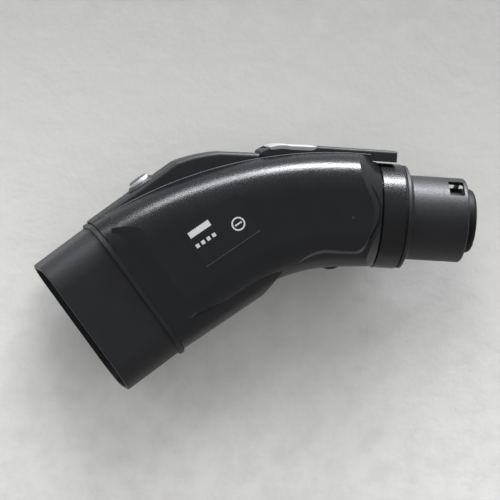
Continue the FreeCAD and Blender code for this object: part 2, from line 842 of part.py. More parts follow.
def power_ring(radius, s0, s1):
    ends = [rod(radius, s0, s1, power_t, z) for z in (-power_z, power_z)]
    middle = box(s0, s1, power_t - radius, power_t + radius, -power_z, power_z)
    return joined(ends + [middle])


def inlet_spots():
    """Contacts of the inlet: name, height, side, pin radius, shank radius."""
    return [("inlet_dc_plus_pin", power_t, power_z, power_pin_r, pin_shank_r),
            ("inlet_dc_minus_pin", power_t, -power_z, power_pin_r, pin_shank_r),
            ("inlet_earth_pin", signal_block_t, 0.0, earth_pin_r, earth_pin_r + 1.2),
            ("inlet_pilot_pin", pilot_t, pilot_z, pilot_pin_r, pilot_pin_r + 1.0),
            ("inlet_proximity_pin", pilot_t, -pilot_z, pilot_pin_r, pilot_pin_r + 1.0)]


def inlet_core():
    solid = wide_block(core_half_h, core_half_w, core_corner, core_seat_s + slide_gap, core_back_s)
    ring = signal_ring(signal_ring_r, signal_flat_t, ring_mouth_s, core_seat_s + 1.0)
    hollow_r = signal_ring_r - ring_wall
    ring = ring.cut(signal_ring(hollow_r, signal_flat_t - ring_wall, ring_mouth_s - 1.0, core_seat_s))
    power = power_ring(power_ring_r, ring_mouth_s, core_seat_s + 1.0)
    for z in (-power_z, power_z):
        power = power.cut(rod(power_ring_r - ring_wall - 1.0, ring_mouth_s - 1.0, core_seat_s, power_t, z))
    solid = solid.fuse([ring, power])
    for name, t, z, r, shank in inlet_spots():
        solid = solid.cut(rod(shank + slide_gap, core_seat_s - 6.0, core_back_s + 1.0, t, z))
        solid = solid.cut(rod(shank + 1.5 + slide_gap, core_back_s - 2.0, core_back_s + 1.0, t, z))
    for t, z in plate_screw_spots():
        solid = solid.cut(rod(1.2, -2.0, core_back_s + 1.0, t, z))
    return in_sleeve(solid.removeSplitter())


def plate_screw_spots():
    return [(t, z) for t in (-3.0, 46.0) for z in (-26.0, 26.0)] + [(-49.5, -18.0), (-49.5, 18.0)]


def inlet_back_plate():
    """Plate behind the core that traps the pins."""
    solid = wide_block(core_half_h - 1.5, core_half_w - 1.5, core_corner - 1.5, core_back_s, plate_back_s)
    for name, t, z, r, shank in inlet_spots():
        solid = solid.cut(rod(shank + slide_gap, 0.0, 20.0, t, z))
    for t, z in plate_screw_spots():
        solid = solid.cut(rod(1.75, 0.0, 20.0, t, z))
    return in_sleeve(solid)


def plate_screws():
    """Screws of the inlet's back plate."""
    screws = []
    for t, z in plate_screw_spots():
        screws.append(joined([rod(1.2 - slide_gap, core_back_s - 5.0, plate_back_s + 0.5, t, z),
                              rod(2.8, plate_back_s, plate_back_s + 2.0, t, z)]))
    return in_sleeve(Part.makeCompound(screws))


def inlet_pin(t, z, radius, shank):
    front = rod(radius, pin_tip_s, core_seat_s - 5.0, t, z)
    body = rod(shank, core_seat_s - 6.0, tail_s if shank < pin_shank_r else plate_back_s, t, z)
    collar = rod(shank + 1.5, core_back_s - 2.0 + slide_gap, core_back_s - slide_gap, t, z)
    parts = [front, body, collar]
    if shank >= pin_shank_r:
        palm = rod(shank, plate_back_s - 1.0, tail_s, t, z)
        cut = box(plate_back_s + 1.5, tail_s + 1.0, t - bar_half_t - slide_gap, t + 20.0, z - 10.0, z + 10.0)
        hole = Part.makeCylinder(2.5, 20.0, V(tail_s - 6.5, t - 15.0, z), V(0, 1, 0))
        parts.append(palm.cut(cut).cut(hole))
    return in_sleeve(joined(parts))


def pin_tip(t, z, radius):
    """Rounded insulating tip on a contact pin."""
    tip = rod(radius, pin_tip_s - 3.2, pin_tip_s - slide_gap / 2, t, z)
    tip = rounded_edges(tip, radius * 0.6, lambda c, e: abs(c.x - pin_tip_s + 3.2) < 0.01)
    return in_sleeve(tip)


# Plug

def tube(outer, bore, x0, x1):
    return rod(outer, x0, x1).cut(rod(bore, x0 - 1.0, x1 + 1.0))


def turned(profile):
    """Turn a profile of x and radius pairs about the plug axis."""
    wire = Part.makePolygon([V(x, r, 0) for x, r in profile + profile[:1]])
    return Part.Face(wire).revolve(V(0, 0, 0), V(1, 0, 0), 360)


def plug_housing():
    bore = barrel_r - barrel_wall
    skirt_r = ring_bore_r - slide_gap
    hole_r = core_r + slide_gap
    seat_x = core_back_x + slide_gap
    solid = turned([(skirt_x, bore), (skirt_x, skirt_r), (flange_back_x, skirt_r),
                    (flange_back_x, flange_r - 0.6), (flange_back_x + 0.6, flange_r),
                    (flange_back_x + flange_rim, flange_r), (-1.2, flange_front_r), (0.0, flange_front_r - 1.6),
                    (0.0, barrel_r), (barrel_x, barrel_r), (barrel_x, bore), (0.0, bore),
                    (0.0, hole_r), (seat_x, hole_r), (seat_x, bore)])
    solid = rounded_edges(solid, barrel_edge_r, lambda c, e: abs(c.x - barrel_x) < 0.01 and e.Length > 200)
    solid = rounded_edges(solid, 0.7, lambda c, e: abs(c.x - barrel_x) < 0.01 and e.Length < 200)
    for side in (1, -1):
        window = box(window_x0, window_x1, 20.0, 45.0, -window_width / 2, window_width / 2)
        window = rounded_edges(window, 1.5, lambda c, e: abs(c.y - 32.5) < 0.1)
        window.rotate(V(0, 0, 0), V(1, 0, 0), side * window_deg)
        solid = solid.cut(window)
    return solid


def end_ring():
    ring = turned([(ring_x, ring_bore_r), (ring_x, ring_r - 0.8), (ring_x + 0.8, ring_r),
                   (ring_front_x - 0.8, ring_r), (ring_front_x, ring_r - 0.8), (ring_front_x, ring_bore_r)])
    return ring


def plug_gasket():
    return tube(flange_r - 1.0, ring_bore_r, ring_front_x + slide_gap, flange_back_x - slide_gap)


def plug_spots():
    """Contacts of the plug: name, height, side, bore radius, outer radius."""
    spots = [("plug_dc_plus_socket", 0.0, power_z, power_bore_r, power_out_r),
             ("plug_dc_minus_socket", 0.0, -power_z, power_bore_r, power_out_r),
             ("plug_earth_socket", earth_y, 0.0, earth_bore_r, earth_out_r),
             ("plug_supply_plus_socket", aux_y, aux_z, aux_bore_r, aux_out_r),
             ("plug_supply_minus_socket", aux_y, -aux_z, aux_bore_r, aux_out_r)]
    names = ("plug_data_high_socket", "plug_confirm_one_socket", "plug_confirm_two_socket",
             "plug_data_low_socket")
    for name, (y, z) in zip(names, signal_spots):
        spots.append((name, y, z, signal_bore_r, signal_out_r))
    return spots


def plug_core():
    """Round block with a plain hole round each contact."""
    solid = rod(core_r, core_back_x, core_front_x)
    solid = rounded_edges(solid, core_edge_r, lambda c, e: abs(c.x - core_front_x) < 0.01)
    for name, y, z, bore, out in plug_spots():
        solid = solid.cut(rod(out + slide_gap, core_back_x - 1.0, core_front_x + 1.0, y, z))
    for y, z in core_screw_spots:
        solid = solid.cut(rod(core_screw_r, core_back_x - 1.0, core_back_x + core_screw_len + 2.0, y, z))
    return solid


def plug_back_plate():
    """Thick plate that seats on the housing's step and traps the contacts' collars behind the core."""
    solid = rod(barrel_r - barrel_wall - slide_gap, plate_back_x, core_back_x)
    for name, y, z, bore, out in plug_spots():
        collar = out + contact_collar + slide_gap
        solid = solid.cut(rod(out + slide_gap, plate_back_x - 1.0, core_back_x + 1.0, y, z))
        solid = solid.cut(rod(collar, core_back_x - contact_collar_len, core_back_x + 1.0, y, z))
    for y, z in core_screw_spots:
        solid = solid.cut(rod(core_screw_r + screw_gap, plate_back_x - 1.0, core_back_x + 1.0, y, z))
    return solid


def core_screws():
    screws = []
    for y, z in core_screw_spots:
        shaft = rod(core_screw_r - slide_gap, plate_back_x - 0.5, core_back_x + core_screw_len, y, z)
        screws.append(joined([shaft, rod(2.2 * core_screw_r, plate_back_x - 1.9, plate_back_x, y, z)]))
    return Part.makeCompound(screws)


def plug_contact(y, z, bore, out):
    """Socket contact with a collar and, on the power ones, a flat palm for the bar."""
    front = core_front_x - contact_recess - slide_gap
    tail = small_tail_x if out < power_out_r else plate_back_x
    solid = rod(out, tail, front, y, z).cut(rod(bore, front - 36.0, front + 1.0, y, z))
    collar_start = core_back_x - contact_collar_len
    collar = rod(out + contact_collar, collar_start + slide_gap, core_back_x - slide_gap, y, z)
    parts = [solid, collar]
    if out >= power_out_r:
        palm = rod(out, power_tail_x, plate_back_x + 1.0, y, z)
        palm = palm.cut(box(power_tail_x - 1.0, plate_back_x - 1.5, y - bar_half_t - slide_gap, y + 20.0,
                            z - 12.0, z + 12.0))
        parts.append(palm.cut(Part.makeCylinder(2.5, 20.0, V(power_tail_x + 7.0, y - 15.0, z), V(0, 1, 0))))
    return joined(parts)


def plug_seal():
    """Soft ring at the bottom of the gap between barrel and core."""
    return tube(barrel_r - barrel_wall - slide_gap, core_r + slide_gap + 0.01, slide_gap, seal_thick)


# Bars and cables

def busbar(z):
    """Bent copper bar from an inlet pin to a plug contact."""
    start = sleeve_point(plate_back_s + 2.0, power_t)
    bend = V(bar_bend_x, 0, 0)
    end = V(plate_back_x - 2.2, 0, 0)
    first = (bend - start).normalize()
    flat = V(1, 0, 0)
    normal = V(-first.y, first.x, 0)
    rise = V(0, 1, 0)
    inner = 10.0
    bisect = bar_half_t / math.cos(first.getAngle(flat) / 2)
    corner = (normal + rise).normalize() * bisect
    points = [start - normal * bar_half_t, bend - corner, end - rise * bar_half_t,
              end + rise * bar_half_t, bend + corner, start + normal * bar_half_t]
    bar = polygon_prism([(p.x, p.y) for p in points], z - bar_half_z, z + bar_half_z)
    bar = rounded_edges(bar, inner, lambda c, e: abs(c.z - z) < 0.01 and abs(c.x - bar_bend_x) < 4.0)
    for spot, up in bolt_spots():
        bar = bar.cut(Part.makeCylinder(2.6, 20.0, V(spot.x, spot.y, z) - up * 10.0, up))
    return bar


def bolt_spots():
    """Bolts of the bars: point on the bar's middle and direction of the bolt."""
    up = V(-math.sin(rad(bend_deg)), math.cos(rad(bend_deg)), 0)
    return [(sleeve_point(tail_s - 6.5, power_t), up), (V(power_tail_x + 7.0, 0, 0), V(0, 1, 0))]


def busbar_bolts():
    bolts = []
    for z in (power_z, -power_z):
        for spot, up in bolt_spots():
            base = V(spot.x, spot.y, z)
            shaft = Part.makeCylinder(2.4, 11.0, base - up * 8.0, up)
            head = Part.makeCylinder(4.2, 3.5, base + up * (bar_half_t + slide_gap), up)
            bolts.append(joined([shaft, head]))
    return Part.makeCompound(bolts)


def pipe(points, radius, bend_r):
    """Round cable through straight runs joined by tangent arcs."""
    edges = []
    last = points[0]
    for before, p, after in zip(points, points[1:], points[2:]):
        back = (before - p).normalize()
        on = (after - p).normalize()
        half_angle = back.getAngle(on) / 2
        reach = bend_r / math.tan(half_angle)
        middle = p + (back + on).normalize() * (bend_r / math.sin(half_angle) - bend_r)
        edges.append(Part.LineSegment(last, p + back * reach).toShape())
        edges.append(Part.Arc(p + back * reach, middle, p + on * reach).toShape())
        last = p + on * reach
    edges.append(Part.LineSegment(last, points[-1]).toShape())
    profile = Part.Wire(Part.makeCircle(radius, points[0], points[1] - points[0]))
    return Part.Wire(edges).makePipeShell([profile], True, False)


def earth_cable():
    """Cable from the inlet's earth pin to the plug's earth socket, with one bend."""
    start = sleeve_point(tail_s + slide_gap, signal_block_t)
    corner_s = (earth_y - sleeve_point(0, signal_block_t).y) / math.sin(rad(bend_deg))
    return pipe([start, sleeve_point(corner_s, signal_block_t), V(small_tail_x - slide_gap, earth_y, 0)],
                cable_r, 40.0)


def signal_cable():
    """Bundle from the header on the board to the plug's small contacts."""
    radius = 2.2
    level = board_z - radius - 0.4
    s = board_s1 - 8.0 + slide_gap
    height = signal_spots[1][0] - 1.0
    return pipe([sleeve_point(s, 4.0, level), sleeve_point(s + 16.0, 4.0, level), V(-95.0, height, 0),
                 V(small_tail_x - slide_gap, height, 0)], radius, 18.0)


def pilot_cable():
    """Thin bundle from the pilot pins to the board."""
    radius = 1.6
    t = pilot_t - radius
    z = pilot_z - 1.0
    s = board_s0 + 8.0
    return pipe([sleeve_point(tail_s + slide_gap, t, z), sleeve_point(tail_s + 7.0, t, z),
                 sleeve_point(s, 14.0, 13.0), sleeve_point(s, 14.0, board_z - slide_gap)], radius, 5.0)


# Electronics

def control_board():
    board = box(board_s0, board_s1, board_t0, board_t1, board_z, board_z + board_thick)
    for s, t in board_spots():
        board = board.cut(post(post_hole_r + 0.3, s, t, board_z - 1.0, board_z + 3.0))
    return in_sleeve(board)


def board_block(s, t, length, width, height):
    return in_sleeve(box(s, s + length, t, t + width, board_z - height, board_z))


def board_screws():
    screws = []
    for s, t in board_spots():
        shaft = post(post_hole_r - slide_gap, s, t, board_z - 0.5, board_z + post_hole_len - 1.0)
        screws.append(joined([shaft, post(board_head_r, s, t, board_z - board_thick, board_z)]))
    return in_sleeve(Part.makeCompound(screws))


def battery_cell(t):
    cell = rod(cell_r, cell_s, cell_s + cell_len, t, cell_z)
    cell = rounded_edges(cell, 0.8, lambda c, e: e.Length > 20 and abs(c.x - cell_s - cell_len / 2) > 1)
    cell = cell.fuse(rod(3.0, cell_s + cell_len - 0.5, cell_s + cell_len + 1.2, t, cell_z))
    return in_sleeve(cell)


def battery_tray():
    s0 = cell_s - 4.0
    s1 = cell_s + cell_len + 5.2
    t0 = cell_rows[0] - cell_r - 2.0
    t1 = cell_rows[1] + cell_r + 2.0
    tray = box(s0, s1, t0, t1 - 0.8, tray_floor_z + slide_gap, cell_z + 2.0)
    for t in cell_rows:
        bed = rod(cell_r + slide_gap, s0 + 2.0, s1 - 2.0, t, cell_z)
        above = box(s0 + 2.0, s1 - 2.0, t - cell_r - slide_gap, t + cell_r + slide_gap, cell_z, cell_z + 20.0)
        tray = tray.cut(bed.fuse(above))
    return in_sleeve(tray)


def shell_screws():
    screws = []
    for x, y in screw_spots:
        shaft = post(screw_r - slide_gap, x, y, screw_seat_z - 0.5, screw_tip_z)
        head = post(screw_head_r, x, y, screw_seat_z - screw_head_h, screw_seat_z - slide_gap)
        head = head.cut(post(1.2, x, y, screw_seat_z - screw_head_h - 1.0, screw_seat_z - 1.0))
        screws.append(joined([shaft, head]))
    return Part.makeCompound(screws)


# All pieces

def pieces():
    label_half, floor_half = shell_halves()
    lever, pad = latch_lever()
    made = {
        "label_side_shell": label_half, "floor_side_shell": floor_half,
        "spine_cover": spine_cover(), "button_bezel": button_bezel(),
        "power_button": power_button(), "button_switch": button_switch(),
        "latch_lever": lever, "thumb_pad": pad, "latch_pin": latch_pin(), "latch_spring": latch_spring(),
        "inlet_sleeve": inlet_sleeve(), "inlet_gasket": inlet_gasket(), "inlet_core": inlet_core(),
        "inlet_back_plate": inlet_back_plate(), "inlet_plate_screws": plate_screws(),
        "plug_housing": plug_housing(), "end_ring": end_ring(), "plug_gasket": plug_gasket(),
        "plug_core": plug_core(), "plug_back_plate": plug_back_plate(), "plug_core_screws": core_screws(),
        "plug_seal": plug_seal(),
        "busbar_plus": busbar(power_z), "busbar_minus": busbar(-power_z), "busbar_bolts": busbar_bolts(),
        "earth_cable": earth_cable(), "signal_cable": signal_cable(), "pilot_cable": pilot_cable(),
        "control_board": control_board(), "processor_chip": board_block(58.0, -8.0, 14.0, 14.0, 1.6),
        "board_relay": board_block(43.0, -6.0, 12.0, 15.0, 10.0),
        "cable_header": board_block(board_s1 - 14.0, -2.0, 6.0, 12.0, 5.0),
        "board_screws": board_screws(), "battery_tray": battery_tray(),
        "shell_screws": shell_screws(), "rating_label": label_block(panel_z - label_sink,
                                                                    panel_z - label_sink + label_thick, 0.0),
    }
    for index, t in enumerate(cell_rows):
        made["battery_cell_%s" % ("lower", "upper")[index]] = battery_cell(t)
    for name, t, z, radius, shank in inlet_spots():
        made[name] = inlet_pin(t, z, radius, shank)
        if radius > pilot_pin_r:
            made[name.replace("_pin", "_tip")] = pin_tip(t, z, radius)
    for name, y, z, bore, out in plug_spots():
        made[name] = plug_contact(y, z, bore, out)
    return made


def main():
    os.makedirs("parts", exist_ok=True)
    for name, shape in pieces().items():
        shape.exportStep("parts/%s.step" % name)


main()
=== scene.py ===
# Looks of the electric vehicle charging adapter: finishes, label print, small details, light and camera.
# The frame is in metres. Places of the small pieces are written in millimetres and scaled by MM.

import json
import math

import bmesh
import bpy
from mathutils import Matrix, Vector


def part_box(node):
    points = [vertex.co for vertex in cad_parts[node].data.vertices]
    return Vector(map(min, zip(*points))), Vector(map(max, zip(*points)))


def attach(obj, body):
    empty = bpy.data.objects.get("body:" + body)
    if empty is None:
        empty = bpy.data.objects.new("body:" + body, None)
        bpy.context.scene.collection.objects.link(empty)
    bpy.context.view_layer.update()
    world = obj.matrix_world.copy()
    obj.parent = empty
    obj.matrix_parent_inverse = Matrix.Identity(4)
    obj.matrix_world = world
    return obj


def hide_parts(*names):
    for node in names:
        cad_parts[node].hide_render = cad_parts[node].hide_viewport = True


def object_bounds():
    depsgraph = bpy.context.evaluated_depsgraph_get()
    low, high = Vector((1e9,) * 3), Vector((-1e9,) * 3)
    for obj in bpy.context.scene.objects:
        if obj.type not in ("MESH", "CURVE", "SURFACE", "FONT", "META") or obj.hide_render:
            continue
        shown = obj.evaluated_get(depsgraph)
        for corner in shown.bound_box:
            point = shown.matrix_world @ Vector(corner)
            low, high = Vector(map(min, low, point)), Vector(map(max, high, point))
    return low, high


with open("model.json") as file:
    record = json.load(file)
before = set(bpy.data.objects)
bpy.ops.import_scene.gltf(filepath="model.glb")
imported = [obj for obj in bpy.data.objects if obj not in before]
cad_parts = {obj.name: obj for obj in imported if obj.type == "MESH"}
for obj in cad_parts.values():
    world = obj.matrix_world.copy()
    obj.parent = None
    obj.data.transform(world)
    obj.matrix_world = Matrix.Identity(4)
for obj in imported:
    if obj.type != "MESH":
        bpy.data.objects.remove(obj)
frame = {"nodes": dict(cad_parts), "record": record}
nodes = frame["nodes"]
cad_box = [list(v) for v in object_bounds()]

MM = 0.001


# Camera

PICTURE_SIDE = 500.0
FOCAL_PIXELS = 4600.0
SENSOR_WIDTH = 36.0
BARREL_ACROSS = 66.0
BARREL_PIXELS = 84.1
ORIGIN_PIXEL_X = 405.6
ORIGIN_PIXEL_Y = 217.05
VIEW_RIGHT = Vector((0.98415, 0.06769, 0.16389))
VIEW_BACK = Vector((-0.16677, 0.03933, 0.98521))


def make_camera():
    """Look down on the lying adapter, a little from the sleeve's side.

    The barrel's height in the picture sets the distance, and the part's origin sets the framing.
    """
    back = VIEW_BACK.normalized()
    right = (VIEW_RIGHT - back * VIEW_RIGHT.dot(back)).normalized()
    up = back.cross(right)
    depth = FOCAL_PIXELS * BARREL_ACROSS / BARREL_PIXELS
    origin_x = (ORIGIN_PIXEL_X - PICTURE_SIDE / 2) / FOCAL_PIXELS * depth * MM
    origin_y = -(ORIGIN_PIXEL_Y - PICTURE_SIDE / 2) / FOCAL_PIXELS * depth * MM
    place = back * depth * MM - right * origin_x - up * origin_y
    data = bpy.data.cameras.new("camera")
    data.sensor_width = SENSOR_WIDTH
    data.lens = FOCAL_PIXELS / PICTURE_SIDE * SENSOR_WIDTH
    data.clip_end = 50.0
    camera = bpy.data.objects.new("camera", data)
    bpy.context.scene.collection.objects.link(camera)
    turn = Matrix((right, up, back)).transposed().to_4x4()
    camera.matrix_world = Matrix.Translation(place) @ turn
    bpy.context.scene.camera = camera


make_camera()


# Finishes

class Nodes:
    """Short calls for building one material's node tree."""

    def __init__(self, name):
        self.material = bpy.data.materials.new(name)
        self.material.use_nodes = True
        self.tree = self.material.node_tree
        self.tree.nodes.clear()
        out = self.add("ShaderNodeOutputMaterial")
        self.shader = self.add("ShaderNodeBsdfPrincipled")
        self.link(self.shader.outputs[0], out.inputs[0])
        self.place = self.add("ShaderNodeTexCoord").outputs["Object"]

    def add(self, kind, **values):
        node = self.tree.nodes.new(kind)
        for key, value in values.items():
            setattr(node, key, value)
        return node

    def link(self, a, b):
        self.tree.links.new(a, b)

    def surface(self, name, socket):
        """Feed one input of the surface shader."""
        self.link(socket, self.shader.inputs[name])

    def noise(self, scale, detail=2.0, rough=0.5, place=None):
        node = self.add("ShaderNodeTexNoise")
        node.inputs["Scale"].default_value = scale
        node.inputs["Detail"].default_value = detail
        node.inputs["Roughness"].default_value = rough
        self.link(place or self.place, node.inputs["Vector"])
        return node.outputs["Fac"]

    def ramp(self, value, low, high, out_low=0.0, out_high=1.0):
        """Turn the range low to high into the range out_low to out_high, held at both ends."""
        node = self.add("ShaderNodeMapRange")
        self.link(value, node.inputs["Value"])
        node.inputs["From Min"].default_value = low
        node.inputs["From Max"].default_value = high
        node.inputs["To Min"].default_value = out_low
        node.inputs["To Max"].default_value = out_high
        return node.outputs["Result"]

    def mix(self, factor, a, b):
        """Mix two colours, each a tuple or a socket."""
        node = self.add("ShaderNodeMix", data_type="RGBA")
        self.link(factor, node.inputs["Factor"])
        for socket, value in ((node.inputs["A"], a), (node.inputs["B"], b)):
            if isinstance(value, tuple):
                socket.default_value = (*value, 1.0)
            else:
                self.link(value, socket)
        return node.outputs["Result"]

    def maths(self, operation, a, b):
        """Do a sum or a product of two values, each a number or a socket."""
        node = self.add("ShaderNodeMath", operation=operation)
        for socket, value in zip(node.inputs, (a, b)):
            if isinstance(value, float):
                socket.default_value = value
            else:
                self.link(value, socket)
        return node.outputs[0]

    def bump(self, height, distance, strength, after=None):
        node = self.add("ShaderNodeBump")
        node.inputs["Distance"].default_value = distance
        node.inputs["Strength"].default_value = strength
        self.link(height, node.inputs["Height"])
        if after is not None:
            self.link(after, node.inputs["Normal"])
        return node.outputs[0]


def moulded(name, dark, light, rough, grain=1500.0, grain_depth=0.00006, specular=0.5):
    """Moulded plastic: fine spark grain, faint mottling and pale dust specks."""
    n = Nodes(name)
    cloud = n.ramp(n.noise(34.0, detail=4.0, rough=0.6), 0.3, 0.7)
    dust = n.ramp(n.noise(2600.0, rough=0.7), 0.70, 0.78, out_high=0.35)
    pale = tuple(min(1.0, v * 2.2 + 0.02) for v in light)
    n.surface("Base Color", n.mix(dust, n.mix(cloud, dark, light), pale))
    wide = n.noise(12.0, detail=3.0, rough=0.55)
    fine = n.noise(700.0, detail=3.0, rough=0.6)
    blend = n.maths("ADD", n.maths("MULTIPLY", wide, 0.6), n.maths("MULTIPLY", fine, 0.4))
    spark = n.ramp(n.noise(1000.0, rough=0.6), 0.40, 0.60, -0.05, 0.05)
    n.surface("Roughness", n.maths("ADD", spark, n.ramp(blend, 0.35, 0.65, *rough)))
    swell = n.bump(n.noise(18.0), 0.0006, 0.25)
    n.surface("Normal", n.bump(n.noise(grain, detail=3.0, rough=0.65), grain_depth, 0.9, swell))
    n.shader.inputs["Specular IOR Level"].default_value = specular
    return n.material


def rubber(name, dark):
    """Dull rubber with a soft bloom and a fine grain."""
    n = Nodes(name)
    bloom = n.ramp(n.noise(60.0, detail=4.0), 0.35, 0.65)
    n.surface("Base Color", n.mix(bloom, dark, tuple(v * 1.8 for v in dark)))
    n.surface("Roughness", n.ramp(n.noise(300.0, detail=3.0), 0.3, 0.7, 0.75, 0.95))
    n.surface("Normal", n.bump(n.noise(1400.0, detail=3.0), 0.0001, 0.7))
    return n.material


def metal(name, colour, rough, scratch):
    """Metal with fine scratches, drawn out by a different stretch on each axis."""
    n = Nodes(name)
    stretch = n.add("ShaderNodeMapping")
    stretch.inputs["Scale"].default_value = scratch
    n.link(n.place, stretch.inputs["Vector"])
    lines = n.noise(900.0, detail=3.0, rough=0.6, place=stretch.outputs[0])
    cloud = n.ramp(n.noise(80.0, detail=3.0), 0.3, 0.7)
    n.surface("Base Color", n.mix(cloud, tuple(v * 0.86 for v in colour), colour))
    n.surface("Roughness", n.ramp(lines, 0.3, 0.7, *rough))
    n.surface("Normal", n.bump(lines, 0.00003, 0.5))
    n.shader.inputs["Metallic"].default_value = 1.0
    return n.material


def board_green(name):
    """Laminate with faint copper tracks under its varnish."""
    n = Nodes(name)
    tracks = n.add("ShaderNodeTexBrick")
    n.link(n.place, tracks.inputs["Vector"])
    tracks.inputs["Scale"].default_value = 160.0
    tracks.inputs["Color1"].default_value = (0.01, 0.09, 0.035, 1.0)
    tracks.inputs["Color2"].default_value = (0.015, 0.12, 0.05, 1.0)
    tracks.inputs["Mortar"].default_value = (0.04, 0.2, 0.08, 1.0)
    n.surface("Base Color", tracks.outputs["Color"])
    n.surface("Roughness", n.ramp(n.noise(400.0), 0.3, 0.7, 0.3, 0.45))
    n.surface("Normal", n.bump(tracks.outputs["Fac"], 0.00003, 0.5))
    return n.material


# The button's axis points out of the sloping spine. Along it, in metres from the part's origin,
# the spine's face is at SPINE_LEVEL and the silver rim ends RIM_HEIGHT above it.
BUTTON_AXIS = (-0.62878, 0.777583, 0.0)
SPINE_LEVEL = 0.14215
RIM_HEIGHT = 0.0046
RIM_BLEND = 0.0002


def button_cap(name):
    """Satin silver rim under a dark top: the rim's pale diffuse tone paints a bright reflection, and the
    top is painted dark as shade.
    """
    n = Nodes(name)
    height = n.add("ShaderNodeVectorMath", operation="DOT_PRODUCT")
    n.link(n.place, height.inputs[0])
    height.inputs[1].default_value = BUTTON_AXIS
    rim_end = SPINE_LEVEL + RIM_HEIGHT
    # Painted light: above the rim the button is coloured dark as painted shade, and the rim below gets a
    # pale diffuse silver as a painted reflection.
    top = n.ramp(height.outputs["Value"], rim_end, rim_end + RIM_BLEND)
    cloud = n.ramp(n.noise(500.0, detail=3.0), 0.3, 0.7)
    silver = n.mix(cloud, (0.46, 0.475, 0.485), (0.58, 0.595, 0.605))
    n.surface("Base Color", n.mix(top, silver, (0.03, 0.031, 0.034)))
    n.surface("Metallic", n.ramp(top, 0.0, 1.0, 0.35, 0.0))
    n.surface("Roughness", n.ramp(cloud, 0.0, 1.0, 0.36, 0.46))
    n.surface("Normal", n.bump(n.noise(900.0, detail=3.0), 0.00003, 0.6))
    return n.material


slot_materials = {
    "shell_plastic": moulded(
        "shell_plastic", (0.0028, 0.0032, 0.0046), (0.0043, 0.0049, 0.0068), rough=(0.20, 0.26),
        grain=800.0, grain_depth=0.00011, specular=0.33),
    "spine_plastic": moulded(
        "spine_plastic", (0.0045, 0.0053, 0.0066), (0.0062, 0.0070, 0.0088), rough=(0.45, 0.57),
        specular=0.33),
    "sleeve_plastic": moulded(
        "sleeve_plastic", (0.0060, 0.0063, 0.0075), (0.0085, 0.0089, 0.0105), rough=(0.42, 0.52),
        grain=1000.0, grain_depth=0.00012, specular=0.33),
    "insulator_plastic": moulded(
        "insulator_plastic", (0.0025, 0.0029, 0.0028), (0.0040, 0.0044, 0.0043), rough=(0.5, 0.65),
        grain=1100.0, grain_depth=0.00008, specular=0.15),
    "inner_plastic": moulded(
        "inner_plastic", (0.03, 0.03, 0.034), (0.05, 0.05, 0.055), rough=(0.45, 0.6)),
    "pad_plastic": moulded(
        "pad_plastic", (0.155, 0.16, 0.163), (0.195, 0.20, 0.203), rough=(0.3, 0.4),
        grain=900.0, grain_depth=0.00003),
    "label_film": moulded(
        "label_film", (0.0030, 0.0033, 0.0044), (0.0042, 0.0047, 0.0060), rough=(0.34, 0.42),
        grain=2400.0, grain_depth=0.00002, specular=0.33),
    "cell_wrap": moulded(
        "cell_wrap", (0.02, 0.07, 0.2), (0.03, 0.1, 0.28), rough=(0.25, 0.35),
        grain=300.0, grain_depth=0.00002),
    "cable_jacket": moulded(
        "cable_jacket", (0.02, 0.02, 0.02), (0.035, 0.035, 0.035), rough=(0.45, 0.6),
        grain=500.0, grain_depth=0.00004),
    "seal_rubber": rubber("seal_rubber", (0.005, 0.005, 0.0055)),
    "button_metal": button_cap("button_cap"),
    "steel": metal("steel", (0.5, 0.5, 0.5), rough=(0.25, 0.4), scratch=(6.0, 1.0, 6.0)),
    "contact_plating": metal(
        "contact_plating", (0.75, 0.73, 0.68), rough=(0.2, 0.32), scratch=(1.0, 14.0, 14.0)),
    "copper": metal("copper", (0.72, 0.36, 0.2), rough=(0.25, 0.42), scratch=(1.0, 9.0, 9.0)),
    "board_laminate": board_green("board_laminate"),
}

# Nodes that look a little different from the rest of their slot.
node_materials = {
    "button_bezel": metal(
        "bezel_metal", (0.08, 0.083, 0.087), rough=(0.32, 0.44), scratch=(1.0, 12.0, 12.0)),
    "end_ring": moulded(
        "ring_plastic", (0.0035, 0.0037, 0.0042), (0.0050, 0.0053, 0.0060), rough=(0.22, 0.3),
        grain=900.0, grain_depth=0.00012, specular=0.28),
}

for entry in frame["record"]["subparts"]:
    own = node_materials.get(entry["node"])
    mesh = nodes[entry["node"]].data
    mesh.materials.clear()
    mesh.materials.append(own or slot_materials[entry["material_slot"]])


# Helpers for the small pieces

def mesh_piece(name, build, material, body):
    """Make a piece from a bmesh builder, with its material and body."""
    mesh = bpy.data.meshes.new(name)
    bm = bmesh.new()
    build(bm)
    bmesh.ops.recalc_face_normals(bm, faces=bm.faces)
    bm.to_mesh(mesh)
    bm.free()
    piece = bpy.data.objects.new(name, mesh)
    bpy.context.scene.collection.objects.link(piece)
    mesh.materials.append(material)
    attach(piece, body)
    return piece


def join_rows(bm, rows):
    """Fill the faces between each closed row of vertices and the next."""
    for a, b in zip(rows, rows[1:]):
        for i in range(len(a)):
            j = (i + 1) % len(a)
            bm.faces.new((a[i], a[j], b[j], b[i]))


def close_ends(bm, rows):
    """Close the first and the last row with a face each."""
    bm.faces.new(rows[0][::-1])
    bm.faces.new(rows[-1])


# Label print: places run along and across the label from its middle, and stand for no words

LABEL_TURN = math.radians(37.5)
INK_THICK = 0.03
label_low, label_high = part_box("rating_label")
label_middle = (label_low + label_high) / 2 / MM
label_top = label_high.z / MM


def on_label(x, y, z):
    """Turn a place on the label into a point in the frame."""
    c = math.cos(LABEL_TURN)
    s = math.sin(LABEL_TURN)
    return Vector((label_middle.x + x * c - y * s, label_middle.y + x * s + y * c, label_top + z)) * MM


def label_bar(bm, x0, x1, y0, y1):
    """Thin printed field."""
    corners = [(x0, y0), (x1, y0), (x1, y1), (x0, y1)]
    low = [bm.verts.new(on_label(x, y, 0.0)) for x, y in corners]
    high = [bm.verts.new(on_label(x, y, INK_THICK)) for x, y in corners]
    join_rows(bm, [low, high])
    close_ends(bm, [low, high])


